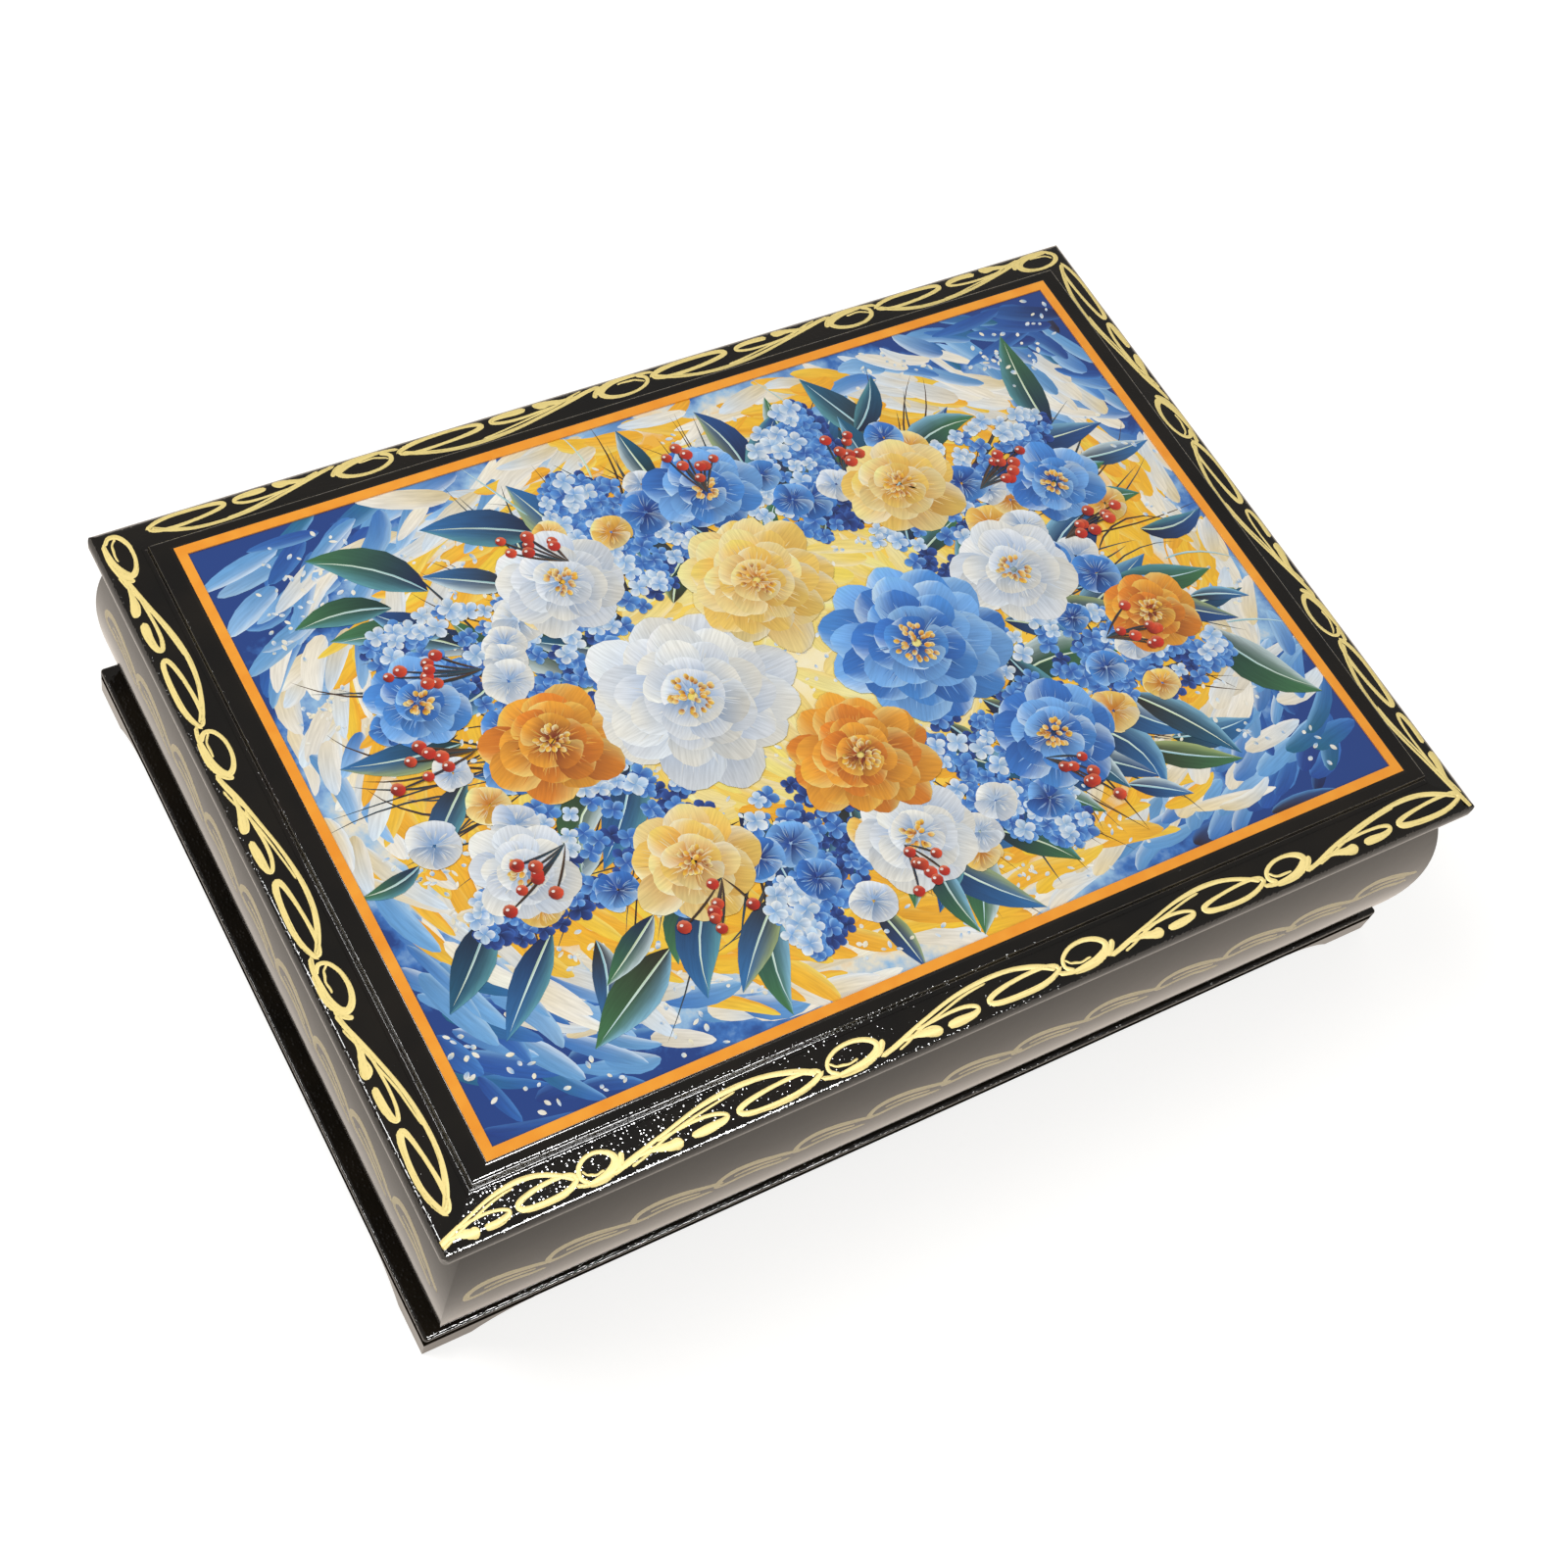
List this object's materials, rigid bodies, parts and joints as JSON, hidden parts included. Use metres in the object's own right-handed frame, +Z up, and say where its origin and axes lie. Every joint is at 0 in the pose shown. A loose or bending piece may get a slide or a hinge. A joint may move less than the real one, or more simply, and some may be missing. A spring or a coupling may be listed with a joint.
{
  "type": "lacquer box",
  "caption": "Flat rectangular lacquered box with bulging mitred walls, a base plate on bracket feet, and an overhanging hinged lid with a framed picture panel.",
  "frame": {"origin": "centre of the footprint, on the surface that the feet stand on", "axes": "+X along the long front side, to the right seen from the front; +Y to the back, where the hinges are; +Z up"},
  "size_m": [0.201, 0.1424, 0.0505],
  "materials": {
    "black_lacquer": "black gloss lacquer over wood, brushed on, with gold pen ornament",
    "red_lacquer": "red gloss lacquer over wood",
    "picture": "coloured picture sheet under clear gloss lacquer, with an orange line round it",
    "brass": "plain stamped brass"
  },
  "bodies": {
    "box": {"front_wall": "black_lacquer", "back_wall": "black_lacquer", "left_wall": "black_lacquer", "right_wall": "black_lacquer", "front_liner": "red_lacquer", "back_liner": "red_lacquer", "left_liner": "red_lacquer", "right_liner": "red_lacquer", "floor_board": "red_lacquer", "base_plate": "black_lacquer", "foot_front_left": "black_lacquer", "foot_front_right": "black_lacquer", "foot_back_left": "black_lacquer", "foot_back_right": "black_lacquer", "hinge_left_body_leaf": "brass", "hinge_right_body_leaf": "brass", "hinge_left_pin": "brass", "hinge_right_pin": "brass", "body_leaf_screws": "brass"},
    "lid": {"lid_board": "black_lacquer", "lid_raised_panel": "black_lacquer", "picture_sheet": "picture", "lid_lining": "red_lacquer", "hinge_left_lid_leaf": "brass", "hinge_right_lid_leaf": "brass", "lid_leaf_screws": "brass"}
  },
  "joints": [
    {"name": "lid_hinge", "type": "hinge", "parent": "box", "child": "lid", "pos_m": [0, 0.06843, 0.0435], "axis": [-1, 0, 0], "range_deg": [0, 105]}
  ]
}
